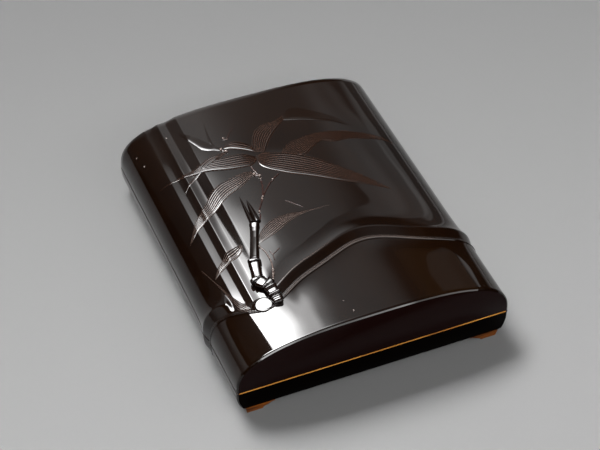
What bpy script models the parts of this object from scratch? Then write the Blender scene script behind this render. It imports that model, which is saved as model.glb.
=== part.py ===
"""Writing box in the form of a split length of bamboo stem.

A hollow lid rests on a hollow base. A wooden lip sits on the rim of the base and keeps the lid in place,
and four bracket feet carry the box. The lid is carved with the node of the stem, two flutes, a branch with
its cut stub, twigs and leaves. X runs across the stem, Y along it, +Y is the back, and Z = 0 is the ground.
"""
import math

import bmesh
import bpy
import numpy as np

# Box, in metres
LENGTH = 0.244
WIDTH = 0.2
FOOT_HEIGHT = 0.0060
BASE_HEIGHT = 0.0161
LID_HEIGHT = 0.0371
WALL = 0.0045
END_WALL = 0.0060
FLOOR = 0.0045
LID_CROWN = 0.0050
CORNER_WIDTH = 0.0050
CORNER_HEIGHT = 0.0140
EDGE_BEVEL = 0.0009
GAP = 0.0003

# Arch of the lid: (x / half width) ** SIDE_POWER + (z / height) ** TOP_POWER = 1
SIDE_POWER = 2.98
TOP_POWER = 2.64

# Lip of the base
LIP_SHOULDER = 0.0010
LIP_SETBACK = 0.0002
LIP_THICKNESS = 0.0022
LIP_RISE = 0.0045
LIP_DROP = 0.0040
LIP_CLEARANCE = 0.0004

# Node of the stem: a scar line that dips at the branch and arches beside it, with a crest behind it
NODE_Y = -0.071
DIP_X, DIP_WIDTH, DIP_DEPTH = -0.0634, 0.0232, 0.0161
RISE_X, RISE_WIDTH, RISE_HEIGHT = 0.0197, 0.0343, 0.0167
CREST_DISTANCE = 0.0112
CREST_HEIGHT = 0.0023
CREST_FADE = 0.0065
VALLEY_DISTANCE = 0.0030
VALLEY_HEIGHT = 0.0003
SCAR_HEIGHT = 0.0014
SCAR_FADE = 0.0060
WAIST_TOP, WAIST_SIDE = -0.0006, 0.0006
END_TOP, END_SIDE = 0.0, 0.0004
SIDE_START = 0.080
RELIEF_START = 0.003
RELIEF_FULL = 0.010

# Flutes that run back from the branch: ridges and how far they lie below the stem, lowest lines and depths
FLUTE_RIDGES = (-0.0806, -0.0701, -0.0556)
FLUTE_RIDGE_DROPS = (0.0, 0.0004, 0.0)
FLUTE_BOTTOMS = (-0.0752, -0.0652)
FLUTE_DEPTHS = (0.00085, 0.00115)
FLUTE_EDGE = 0.003
FLUTE_START = 0.0005
FLUTE_FULL = 0.0040

# Branch and stub: x, y, height of the axis above the lid and radius
NODE_SWELLING = 0.0010
NODE_SPREAD = 0.0022
BRANCH_NODES = (
    (-0.0556, -0.0866, 0.0002, 0.0027),
    (-0.0553, -0.0796, 0.0010, 0.0033),
    (-0.0562, -0.0700, 0.0014, 0.0037),
    (-0.0609, -0.0618, 0.0014, 0.0041),
    (-0.0572, -0.0453, 0.0012, 0.0036),
    (-0.0436, -0.0103, 0.0010, 0.0031),
)
SHOOTS = (
    ((-0.0446, -0.0080), (-0.0432, 0.0203), 0.0018),
    ((-0.0409, -0.0090), (-0.0398, 0.0145), 0.0029),
)
SHOOT_TIP_SHARE = 0.15

# Stub: centre and half widths at its foot and at its cut face, heights and outline of the shoulder as shares
STUB_FOOT, STUB_FOOT_RADII = (-0.0669, -0.0802), (0.0073, 0.0079)
STUB_FACE, STUB_FACE_RADII = (-0.0660, -0.0828), (0.0058, 0.0054)
STUB_TOP = 0.0033
STUB_SINK = 0.0040
STUB_SHOULDER = ((0.40, 0.05), (0.76, 0.30), (0.94, 0.65), (1.0, 1.0))
STUB_RISE_RIGHT, STUB_FALL_FRONT = 0.15, 0.115

# Twigs: radius and the points of the route over the lid
TWIGS = (
    (0.0009, ((-0.0405, -0.0095), (-0.0365, -0.0010), (-0.0292, 0.0110), (-0.0232, 0.0325),
              (-0.0245, 0.0455))),
    (0.0007, ((-0.0292, 0.0110), (-0.0228, 0.0185), (-0.0152, 0.0265), (-0.0090, 0.0305))),
    (0.0009, ((-0.0505, -0.0330), (-0.0480, -0.0400), (-0.0482, -0.0500), (-0.0510, -0.0590),
              (-0.0530, -0.0670))),
    (0.0006, ((-0.0318, 0.0690), (-0.0312, 0.0790), (-0.0222, 0.0895))),
)

# Leaves: stalk end, bend and tip of the middle line, half width, where it is widest, and how far it is raised
# to lie over another leaf
LEAF_HEIGHT = 0.0010
LEAF_MIDDLE = 0.0007
LEAF_UPPER_EDGE = 0.0004
LEAF_SINK = 0.0012
LEAVES = (
    ((-0.0350, 0.0670), (-0.0550, 0.0640), (-0.0760, 0.0440), 0.0034, 0.35, 0.0004),
    ((-0.0155, 0.0530), (-0.0125, 0.0760), (0.0140, 0.0845), 0.0085, 0.52, 0.0),
    ((0.0090, 0.0835), (0.0330, 0.1010), (0.0635, 0.0620), 0.0065, 0.38, 0.0),
    ((0.0010, 0.0430), (0.0330, 0.0660), (0.0880, 0.0425), 0.0085, 0.30, 0.0),
    ((-0.0180, 0.0515), (0.0130, 0.0370), (0.0610, -0.0120), 0.0105, 0.40, 0.0),
    ((-0.0190, 0.0500), (-0.0500, 0.0620), (-0.0890, 0.0605), 0.0072, 0.34, 0.0),
    ((-0.0160, 0.0605), (-0.0250, 0.0745), (-0.0350, 0.0720), 0.0035, 0.45, 0.0),
    ((-0.0350, 0.0700), (-0.0500, 0.0800), (-0.0620, 0.1100), 0.0055, 0.35, 0.0),
    ((-0.0370, 0.0720), (-0.0400, 0.0850), (-0.0397, 0.1030), 0.0017, 0.40, 0.0),
    ((-0.0270, 0.0375), (-0.0540, 0.0370), (-0.0900, 0.0000), 0.0082, 0.42, 0.0),
    ((-0.0470, -0.0260), (-0.0250, -0.0130), (0.0120, -0.0130), 0.0045, 0.30, 0.0),
    ((-0.0585, -0.0240), (-0.0740, -0.0300), (-0.0845, -0.0415), 0.0052, 0.38, 0.0),
    ((-0.0740, -0.0800), (-0.0805, -0.0710), (-0.0890, -0.0280), 0.0034, 0.22, 0.0),
)

# Feet
FOOT_LENGTH = 0.0126
FOOT_WING = 0.0083
FOOT_DEPTH = 0.0060
FOOT_STEP = 0.0020
FOOT_STEP_SLOPE = 0.0003
FOOT_SLANT = 0.0009
FOOT_INSET_SIDE = 0.0058
FOOT_INSET_END = 0.0006
FOOT_WING_TIP = 0.0007
FOOT_SEAT = 0.0030

# Fineness of the facets
ARCH_COLUMNS = 34
FLUTE_COLUMNS = 4
BACK_ROWS = 2
CORNER_STEPS = 5
CAVITY_COLUMNS = 20
TUBE_SIDES = 8
TWIG_SIDES = 5
TWIG_STEPS = 3
LEAF_STATIONS = 12

BASE_Z = FOOT_HEIGHT + GAP
RIM_Z = BASE_Z + BASE_HEIGHT
LIP_Z = RIM_Z + GAP
LID_Z = LIP_Z + LIP_SHOULDER + GAP
HALF_LENGTH = LENGTH / 2
HALF_WIDTH = WIDTH / 2


def clear_scene():
    for old in list(bpy.data.objects):
        bpy.data.objects.remove(old)


def lacquer_or_wood(name, colour, roughness):
    """Material of a piece, from its colour and roughness."""
    material = bpy.data.materials.new(name)
    material.use_nodes = True
    shader = material.node_tree.nodes["Principled BSDF"]
    shader.inputs["Base Color"].default_value = (*colour, 1.0)
    shader.inputs["Roughness"].default_value = roughness
    shader.inputs["Metallic"].default_value = 0.0
    return material


def add_object(name, points, faces, material=None):
    """Mesh object from a list of points and a list of faces."""
    mesh = bpy.data.meshes.new(name)
    mesh.from_pydata([tuple(map(float, point)) for point in points], [], faces)
    shape = bpy.data.objects.new(name, mesh)
    bpy.context.collection.objects.link(shape)
    if material:
        mesh.materials.append(material)
    tidy = bmesh.new()
    tidy.from_mesh(mesh)
    bmesh.ops.recalc_face_normals(tidy, faces=tidy.faces)
    tidy.to_mesh(mesh)
    tidy.free()
    return shape


def helper(shape):
    """Mark an object as a cutter or a form that only goes into another piece."""
    shape.hide_render = True
    shape.display_type = "WIRE"
    return shape


def combine(target, shape, operation):
    """Cut a helper from a piece, or join it on, with an exact Boolean."""
    boolean = target.modifiers.new(operation.title() + " " + shape.name, "BOOLEAN")
    boolean.operation = operation
    boolean.object = helper(shape)
    boolean.solver = "EXACT"


def smooth_step(value, low, high):
    """0 below low, 1 above high and a smooth S curve between."""
    share = np.clip((value - low) / (high - low), 0.0, 1.0)
    return share * share * (3 - 2 * share)


def loft(rings, closed=False):
    """Points and faces of a skin over rings of equal count, closed by a face at each end or into a loop."""
    count = len(rings[0])
    points = [point for ring in rings for point in ring]
    faces = []
    spans = len(rings) if closed else len(rings) - 1
    for row in range(spans):
        here, there = row * count, (row + 1) % len(rings) * count
        for step in range(count):
            after = (step + 1) % count
            faces.append((here + step, here + after, there + after, there + step))
    if not closed:
        faces.append(tuple(range(count)))
        faces.append(tuple(range(len(points) - count, len(points))))
    return points, faces


def scar_y(x):
    """Y of the scar line: a straight ring with a dip at the branch and a rise beside it."""
    dip = DIP_DEPTH * np.exp(-(((x - DIP_X) / DIP_WIDTH) ** 2))
    rise = RISE_HEIGHT * np.exp(-(((x - RISE_X) / RISE_WIDTH) ** 2))
    return NODE_Y - dip + rise


def node_relief(x, y):
    """Height of the node over the plain stem: crest, valley, scar ridge, then the slight flare in front."""
    behind = y - scar_y(x)
    flute_left, flute_right = FLUTE_RIDGES[0], FLUTE_RIDGES[-1]
    in_flutes = smooth_step(x, flute_left - FLUTE_EDGE, flute_left) \
        * (1 - smooth_step(x, flute_right, flute_right + FLUTE_EDGE))
    crest = CREST_HEIGHT * (1 - in_flutes)
    back = crest * np.exp(-np.maximum(behind - CREST_DISTANCE, 0) / CREST_FADE)
    fall = np.clip((behind - VALLEY_DISTANCE) / (CREST_DISTANCE - VALLEY_DISTANCE), 0, 1)
    facet = VALLEY_HEIGHT + (crest - VALLEY_HEIGHT) * fall
    ridge = VALLEY_HEIGHT + (SCAR_HEIGHT - VALLEY_HEIGHT) * (1 - smooth_step(behind, 0, VALLEY_DISTANCE))
    sideways = smooth_step(np.abs(x), SIDE_START, HALF_WIDTH)
    waist = WAIST_TOP + (WAIST_SIDE - WAIST_TOP) * sideways
    end = END_TOP + (END_SIDE - END_TOP) * sideways
    to_end = np.clip((scar_y(x) - y) / (scar_y(x) + HALF_LENGTH), 0, 1)
    front = waist + (SCAR_HEIGHT - waist) * np.exp(np.minimum(behind, 0) / SCAR_FADE) \
        + (end - waist) * to_end ** 2
    height = np.where(behind < 0, front, np.where(behind < VALLEY_DISTANCE, ridge, facet))
    return np.where(behind > CREST_DISTANCE, back, height)


def flute_relief(x, y):
    """Depth of the flutes: from each lowest line it falls off to the ridges beside it as the square of the
    way. The flutes begin just behind the scar."""
    depth = np.zeros_like(x)
    for number, (bottom, deep) in enumerate(zip(FLUTE_BOTTOMS, FLUTE_DEPTHS)):
        for ridge, drop in zip(FLUTE_RIDGES[number:number + 2], FLUTE_RIDGE_DROPS[number:number + 2]):
            share = (x - bottom) / (ridge - bottom)
            inside = (share >= 0) & (share < 1)
            depth = np.where(inside, deep + (drop - deep) * share ** 2, depth)
    return -depth * smooth_step(y - scar_y(x), FLUTE_START, FLUTE_FULL)


def arch_turn(x):
    """Parameter from -1 to 1 across the arch at which it passes over x."""
    share = np.clip(np.abs(x) / HALF_WIDTH, 0, 1) ** (SIDE_POWER / 2)
    return np.sign(x) * (2 / math.pi * np.arcsin(share)) ** (2 / SIDE_POWER)


def arch_section(across, half_width, height):
    """Arch: x = w sin(a) ** (2 / side power), z = h cos(a) ** (2 / top power), and its normal."""
    turn = math.pi / 2 * np.abs(across) ** (SIDE_POWER / 2)
    x = np.sign(across) * half_width * np.sin(turn) ** (2 / SIDE_POWER)
    z = height * np.maximum(np.cos(turn), 0) ** (2 / TOP_POWER)
    z = np.where(np.abs(across) > 1 - 1e-9, 0, z)
    normal_x = np.sign(x) * SIDE_POWER / half_width * (np.abs(x) / half_width) ** (SIDE_POWER - 1)
    normal_z = TOP_POWER / height * (z / height) ** (TOP_POWER - 1)
    size = np.hypot(normal_x, normal_z)
    return x, z, normal_x / size, normal_z / size


def lid_point(across, y, lift=0.0):
    """Point of the lid's skin, raised along the way the arch faces by its relief and by lift."""
    across, y = np.broadcast_arrays(np.asarray(across, float), np.asarray(y, float))
    x, z, normal_x, normal_z = arch_section(across, HALF_WIDTH, LID_HEIGHT)
    height = node_relief(x, y) + flute_relief(x, y) + lift
    return np.stack([x + normal_x * height, y, LID_Z + z + normal_z * height], axis=-1)


def over_lid(x, y, lift=0.0):
    """Point of the lid's skin over a place in plan."""
    return lid_point(arch_turn(np.asarray(x, float)), y, lift)


def rows_along(scar):
    """Places along the stem where the skin needs an edge, as y and an inset, for one scar position."""
    crest = scar + CREST_DISTANCE
    mid_front = (scar - 2 * SCAR_FADE - HALF_LENGTH + EDGE_BEVEL) / 2
    near = [scar - 2 * SCAR_FADE, scar - SCAR_FADE, scar - SCAR_FADE / 3, scar,
            scar + VALLEY_DISTANCE / 2, scar + VALLEY_DISTANCE, crest,
            crest + CREST_FADE / 3, crest + CREST_FADE, crest + 2 * CREST_FADE]
    front = [(-HALF_LENGTH, -EDGE_BEVEL), (-HALF_LENGTH + EDGE_BEVEL, 0.0), (mid_front, 0.0)]
    back = [(HALF_LENGTH - EDGE_BEVEL, 0.0), (HALF_LENGTH, -EDGE_BEVEL)]
    even = np.linspace(crest + 2 * CREST_FADE, HALF_LENGTH - EDGE_BEVEL, BACK_ROWS + 2)[1:-1]
    return front + [(y, 0.0) for y in (*near, *even)] + back


def arch_columns():
    """Places across the lid where the skin needs an edge: even steps, with the flute ridges among them."""
    left, right = arch_turn(FLUTE_RIDGES[0]), arch_turn(FLUTE_RIDGES[-1])
    step = 2 / ARCH_COLUMNS
    outer = np.linspace(-1, left, round((left + 1) / step) + 1)
    flutes = np.linspace(FLUTE_RIDGES[0], FLUTE_RIDGES[1], FLUTE_COLUMNS + 1)[1:]
    flutes = np.concatenate([flutes, np.linspace(FLUTE_RIDGES[1], FLUTE_RIDGES[2], FLUTE_COLUMNS + 1)[1:]])
    rest = np.linspace(right, 1, round((1 - right) / step) + 1)[1:]
    return np.concatenate([outer, arch_turn(flutes), rest])


def build_lid(material):
    """Lid: an arched block with the node and the flutes, hollowed, with the carving joined on."""
    across = arch_columns()
    x = arch_section(across, HALF_WIDTH, LID_HEIGHT)[0]
    per_column = [rows_along(scar) for scar in scar_y(x)]
    rings = []
    for row in range(len(per_column[0])):
        y, inset = np.array([column[row] for column in per_column]).T
        ring = lid_point(across, y, inset)
        ring[0, 2] = ring[-1, 2] = LID_Z
        rings.append(ring)
    lid = add_object("lid", *loft(rings), material)
    combine(lid, cavity_block(), "DIFFERENCE")
    for shape in branch_parts() + twig_parts() + leaf_parts():
        combine(lid, shape, "UNION")
    return lid


def cavity_block():
    """Closed block for the hollow of the lid: upright walls beside the lip, an arch above them."""
    half_width, half_length = HALF_WIDTH - WALL, HALF_LENGTH - END_WALL
    upright = LIP_RISE + LIP_CLEARANCE
    across = np.linspace(-1, 1, CAVITY_COLUMNS + 1)
    x, z, _, _ = arch_section(across, half_width, LID_HEIGHT - LID_CROWN - upright)
    x = np.concatenate([[-half_width], x, [half_width]])
    z = np.concatenate([[-WALL], z + upright, [-WALL]]) + LID_Z
    rings = [[(px, y, pz) for px, pz in zip(x, z)] for y in (-half_length, half_length)]
    return add_object("lid cavity", *loft(rings))


def tube(name, centres, radii, sides):
    """Closed tube along centres, each ring square to the route."""
    centres = np.asarray(centres)
    along = np.gradient(centres, axis=0)
    along /= np.linalg.norm(along, axis=1)[:, None]
    side = np.cross(along, (0.0, 0.0, 1.0))
    side /= np.linalg.norm(side, axis=1)[:, None]
    up = np.cross(side, along)
    turn = 2 * math.pi * (np.arange(sides) + 0.5) / sides
    rings = [centre + radius * (np.cos(turn)[:, None] * right + np.sin(turn)[:, None] * top)
             for centre, radius, right, top in zip(centres, radii, side, up)]
    return add_object(name, *loft(rings))


def branch_parts():
    """The branch as one jointed tube, the two shoots that close it, and the cut stub beside it."""
    nodes = np.array(BRANCH_NODES)
    stations = []
    for start, end in zip(nodes[:-1], nodes[1:]):
        near = NODE_SPREAD / np.linalg.norm(end[:2] - start[:2])
        for share, swelling in ((0, NODE_SWELLING), (near, 0), (1 - near, 0)):
            stations.append(start + (end - start) * share + (0, 0, 0, swelling))
    stations.append(nodes[-1] + (0, 0, 0, NODE_SWELLING))
    x, y, lift, radii = np.array(stations).T
    route = over_lid(x, y, lift)
    parts = [tube("branch", route, radii, TUBE_SIDES)]
    for number, (root, tip, radius) in enumerate(SHOOTS):
        share = np.linspace(0, 1, 5)
        x = root[0] + (tip[0] - root[0]) * share
        y = root[1] + (tip[1] - root[1]) * share
        route = over_lid(x, y, LEAF_HEIGHT * (1 - share))
        radii = radius * (1 - (1 - SHOOT_TIP_SHARE) * share ** 2)
        parts.append(tube(f"shoot {number}", route, radii, TUBE_SIDES))
    parts.append(stub_part())
    return parts


def stub_part():
    """Stub of a cut shoot: an oval post that narrows towards its cut face, which falls to the front."""
    foot, foot_radii = np.array(STUB_FOOT), np.array(STUB_FOOT_RADII)
    face, face_radii = np.array(STUB_FACE), np.array(STUB_FACE_RADII)
    turn = 2 * math.pi * np.arange(2 * TUBE_SIDES) / (2 * TUBE_SIDES)
    circle = np.stack([np.cos(turn), np.sin(turn)], axis=-1)
    ground = over_lid(*STUB_FOOT)[2]
    rings = [np.column_stack([foot + foot_radii * circle, np.full(len(turn), ground - STUB_SINK)])]
    for height, share in STUB_SHOULDER:
        plan = foot + (face - foot) * share + (foot_radii + (face_radii - foot_radii) * share) * circle
        slope = STUB_RISE_RIGHT * (plan[:, 0] - face[0]) + STUB_FALL_FRONT * (plan[:, 1] - face[1])
        rings.append(np.column_stack([plan, ground + STUB_TOP * height + slope * height]))
    return add_object("stub", *loft(rings))


def twig_parts():
    """Thin twigs that carry the leaves, half sunk in the lid."""
    parts = []
    for number, (radius, points) in enumerate(TWIGS):
        corners = np.arange(len(points))
        stations = np.linspace(0, corners[-1], TWIG_STEPS * corners[-1] + 1)
        x, y = [np.interp(stations, corners, values) for values in np.array(points).T]
        route = over_lid(x, y)
        parts.append(tube(f"twig {number}", route, np.full(len(x), radius), TWIG_SIDES))
    return parts


def leaf_parts():
    """Leaves in low relief: blades that follow the lid, highest along their lower edge."""
    parts = []
    for number, (stalk, bend, tip, half_width, widest, raised) in enumerate(LEAVES):
        stalk, bend, tip = map(np.array, (stalk, bend, tip))
        share = np.linspace(0.02, 0.98, LEAF_STATIONS)[:, None]
        near, far = stalk + (bend - stalk) * share, bend + (tip - bend) * share
        middle = near + (far - near) * share
        along = np.gradient(middle, axis=0)
        along /= np.linalg.norm(along, axis=1)[:, None]
        side = np.stack([-along[:, 1], along[:, 0]], axis=-1)
        power = math.log(0.5) / math.log(widest)
        width = half_width * np.sin(math.pi * share ** power) ** 0.8
        rings = []
        for row in range(LEAF_STATIONS):
            edges = middle[row] + np.outer((-1, 0, 1), side[row] * width[row])
            low = 0 if edges[0, 1] < edges[2, 1] else 2
            lifts = np.full(3, LEAF_MIDDLE)
            lifts[low] = LEAF_HEIGHT
            lifts[2 - low] = LEAF_UPPER_EDGE
            top = over_lid(edges[:, 0], edges[:, 1], lifts + raised)
            under = over_lid(edges[:, 0], edges[:, 1], -LEAF_SINK)
            rings.append([*top, *under[::-1]])
        parts.append(add_object(f"leaf {number}", *loft(rings)))
    return parts


def tub_section(half_width, low, high, top):
    """Points of an upright section with elliptic lower corners, from the left rim round to the right."""
    turn = np.linspace(0, math.pi / 2, CORNER_STEPS + 1)
    x = np.append(half_width - CORNER_WIDTH * (1 - np.sin(turn)), half_width)
    z = np.append(low + (high - low) * (1 - np.cos(turn)), top)
    return list(zip(-x[::-1], z[::-1])) + list(zip(x, z))


def base_section(grown=0.0):
    """Outline of the base across the stem, grown outwards by a gap for what fits against it."""
    return tub_section(HALF_WIDTH + grown, -grown, CORNER_HEIGHT, BASE_HEIGHT)


def build_base(material):
    """Base: a block with rounded lower corners and the ring of the node on its sides, hollowed out."""
    x, z = np.array(base_section()).T
    side = np.sign(x)
    edge = side * HALF_WIDTH
    shown = smooth_step(z, RELIEF_START, RELIEF_FULL)
    per_column = [rows_along(scar) for scar in scar_y(edge)]
    rings = []
    for row in range(len(per_column[0])):
        y, inset = np.array([column[row] for column in per_column]).T
        reach = node_relief(edge, y) * shown + inset
        under = np.where(z < EDGE_BEVEL, -inset, 0)
        rings.append(np.stack([x + side * reach, y, BASE_Z + z + under], axis=-1))
    base = add_object("base", *loft(rings), material)
    hollow = tub_section(HALF_WIDTH - WALL, FLOOR, CORNER_HEIGHT, BASE_HEIGHT + WALL)
    half_length = HALF_LENGTH - END_WALL
    rings = [[(x, y, BASE_Z + z) for x, z in hollow] for y in (-half_length, half_length)]
    combine(base, add_object("tray hollow", *loft(rings)), "DIFFERENCE")
    return base


def build_lip(material):
    """Lip: a strip of T section all round, with a shoulder that shows between base and lid."""
    left, right = rim_side(-1), rim_side(1)
    outline = np.concatenate([left, right[::-1]])
    outer = outline - np.sign(outline) * LIP_SETBACK
    half = np.array([HALF_WIDTH, HALF_LENGTH])
    wall = np.array([WALL, END_WALL])

    def loop(inset):
        """Plain rectangle inside the walls with a point for each point of the outline."""
        reach = half - wall - inset
        return np.stack([np.sign(outline[:, 0]) * reach[0], outline[:, 1] / HALF_LENGTH * reach[1]], axis=-1)

    faced, inner = loop(LIP_CLEARANCE), loop(LIP_CLEARANCE + LIP_THICKNESS)
    shoulder_top = LIP_Z + LIP_SHOULDER
    top, bottom = shoulder_top + LIP_RISE, LIP_Z - LIP_DROP
    profile = ((outer, LIP_Z), (outer, shoulder_top), (faced, shoulder_top), (faced, top), (inner, top),
               (inner, bottom), (faced, bottom), (faced, LIP_Z))
    rings = [[(x, y, z) for x, y in plan] for plan, z in profile]
    return add_object("lip_frame", *loft(rings, closed=True), material)


def rim_side(side):
    """Outline of one side of the rim in plan, from the front end to the back end."""
    edge = side * HALF_WIDTH
    rows = rows_along(float(scar_y(edge)))
    return np.array([(edge + side * (node_relief(edge, y) + inset), y) for y, inset in rows])


def foot_stations():
    """Distance from the corner and height of the underside along one arm: block, step, then an ogee wing."""
    stations = [(FOOT_LENGTH - FOOT_STEP_SLOPE, 0.0), (FOOT_LENGTH, FOOT_STEP)]
    for share in np.linspace(0, 1, 6)[1:]:
        rise = (FOOT_HEIGHT - FOOT_WING_TIP - FOOT_STEP) * smooth_step(share, 0, 1)
        stations.append((FOOT_LENGTH + FOOT_WING * share, FOOT_STEP + rise))
    return stations


def build_foot(name, side, end, material):
    """Bracket foot under one corner: an arm along the end and one along the side, mitred and cut to fit."""
    corner = np.array([side * (HALF_WIDTH - FOOT_INSET_SIDE), end * (HALF_LENGTH - FOOT_INSET_END)])
    inward = np.array([-side, -end])
    top = FOOT_HEIGHT + FOOT_SEAT

    def ring(bottom, place):
        """Upright section through an arm; place gives the plan position at a depth from the outer face."""
        lean = FOOT_SLANT * (1 - bottom / FOOT_HEIGHT)
        outline = ((0.0, top), (0.0, FOOT_HEIGHT), (lean, bottom), (FOOT_DEPTH, bottom), (FOOT_DEPTH, top))
        return [(*(corner + inward * place(depth)), height) for depth, height in outline]

    stations = foot_stations()
    along_end = [ring(bottom, lambda depth, d=distance: (d, depth)) for distance, bottom in stations]
    along_side = [ring(bottom, lambda depth, d=distance: (depth, d)) for distance, bottom in stations]
    mitre = ring(0.0, lambda depth: (depth, depth))
    foot = add_object(name, *loft([*along_end[::-1], mitre, *along_side]), material)
    section = [(x, BASE_Z + z) for x, z in base_section(GAP)]
    rings = [[(x, y, z) for x, z in section] for y in (-HALF_LENGTH, HALF_LENGTH)]
    combine(foot, add_object(name + " seat", *loft(rings)), "DIFFERENCE")
    return foot


def main():
    clear_scene()
    lacquer = lacquer_or_wood("dark lacquer", (0.020, 0.012, 0.010), 0.12)
    wood = lacquer_or_wood("amber wood", (0.420, 0.170, 0.045), 0.45)
    build_base(lacquer)
    build_lip(wood)
    build_lid(lacquer)
    for end_name, end in (("front", -1), ("back", 1)):
        for side_name, side in (("left", -1), ("right", 1)):
            build_foot(f"foot_{end_name}_{side_name}", side, end, wood)


main()
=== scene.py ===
# %% [markdown]
# # A writing box shaped as a split length of bamboo
#
# A box like this holds an ink stone and brushes. Its maker cut lid and base from dark wood, carved the lid as
# the upper half of a bamboo stem with one node, two flutes and a leafy branch, and polished it under clear
# lacquer. This script dresses the plain solids of the part. All shapes are worked out in millimetres and
# stored in metres.

# %% Load the solids of the part
import math

import bmesh
import bpy
import numpy as np
from mathutils import Euler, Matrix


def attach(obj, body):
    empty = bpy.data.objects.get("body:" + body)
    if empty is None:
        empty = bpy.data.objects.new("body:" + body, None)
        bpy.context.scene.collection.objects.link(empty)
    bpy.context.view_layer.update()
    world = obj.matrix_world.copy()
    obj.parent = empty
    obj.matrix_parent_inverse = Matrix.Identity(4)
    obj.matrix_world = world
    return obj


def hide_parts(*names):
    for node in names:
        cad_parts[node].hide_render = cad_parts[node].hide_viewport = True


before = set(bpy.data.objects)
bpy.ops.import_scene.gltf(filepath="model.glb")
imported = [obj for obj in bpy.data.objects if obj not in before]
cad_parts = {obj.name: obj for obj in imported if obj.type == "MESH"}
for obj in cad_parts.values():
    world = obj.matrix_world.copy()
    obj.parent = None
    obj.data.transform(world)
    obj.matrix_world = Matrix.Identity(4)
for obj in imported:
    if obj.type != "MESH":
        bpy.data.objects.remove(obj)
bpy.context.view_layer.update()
print("solids:", sorted(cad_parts))

# %% [markdown]
# ## Sizes
#
# The fine surfaces must keep the size of the solids, so the sizes that they share are written here once.
# X runs across the stem, Y along it with +Y at the back, and Z = 0 is the ground.

# %% Shared sizes in millimetres
HALF_WIDTH, HALF_LENGTH = 100.0, 122.0
BASE_LOW, RIM, LIP_LOW, LIP_HIGH, LID_LOW = 6.3, 22.4, 22.7, 23.7, 24.0
LID_HEIGHT, LID_CROWN = 37.1, 5.0
SIDE_POWER, TOP_POWER = 2.98, 2.64
WALL, END_WALL, FLOOR = 4.5, 6.0, 4.5
CORNER_WIDTH, CORNER_HEIGHT = 5.0, 14.0
FOOT_X, FOOT_Y, FOOT_HEIGHT, FOOT_BLOCK, FOOT_WING, FOOT_LEAN = 94.2, 121.4, 6.0, 12.6, 8.3, 0.9
FOOT_THICK, FOOT_STEP, FOOT_TIP, BROKEN_EDGE = 6.0, 2.0, 0.7, 0.3
LIP_BACK, LIP_PLAY, LIP_THICK, LIP_STAND, LIP_HANG = 0.15, 0.4, 2.2, 4.5, 4.0
CREST_BEHIND, CREST_HEIGHT, CHAMFER, UPRIGHT = 11.2, 2.2, 0.9, 4.9
FLUTE_RIDGES, RIDGE_ROUND = (-80.6, -70.1, -55.6), 0.4
RIDGE_DEPTHS, BOTTOMS, BOTTOM_DEPTHS = (0.0, 0.25, 0.0), (-75.2, -64.4), (0.6, 1.1)
LEFT_POWERS, RIGHT_POWERS = (1.7, 1.6), (2.0, 1.35)
print("lid from", LID_LOW, "to", LID_LOW + LID_HEIGHT, "mm")

# %% [markdown]
# ## From arrays to a mesh
#
# Every piece below is a grid of points: rows along the piece, columns across it. A closed piece also needs
# its ends, which are single faces because they are flat. Each point carries two more things that the lacquer
# reads later: where it lies on a leaf, as leaf coordinates, and marks. The marks say how far the point is
# part of a leaf or twig, how worn it is, how much painted glint in a pale colour it carries, and how dull it
# is, which on one patch also brings a painted sheen. One small class gathers the grids of a piece, because a
# carved lid is one thing and becomes one mesh.

# %% Gather grids into one mesh
def grid_faces(rows, columns, round_rows=False, round_columns=False):
    """Quads between neighbours of a grid that is stored row by row, joined round where asked."""
    row = np.arange(rows if round_rows else rows - 1)[:, None]
    column = np.arange(columns if round_columns else columns - 1)[None, :]
    next_row, next_column = (row + 1) % rows, (column + 1) % columns
    corners = (row * columns + column, row * columns + next_column,
               next_row * columns + next_column, next_row * columns + column)
    return np.stack(np.broadcast_arrays(*corners), axis=-1).reshape(-1, 4)


MARKS = ("leaf", "worn", "pale", "dull")


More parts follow.
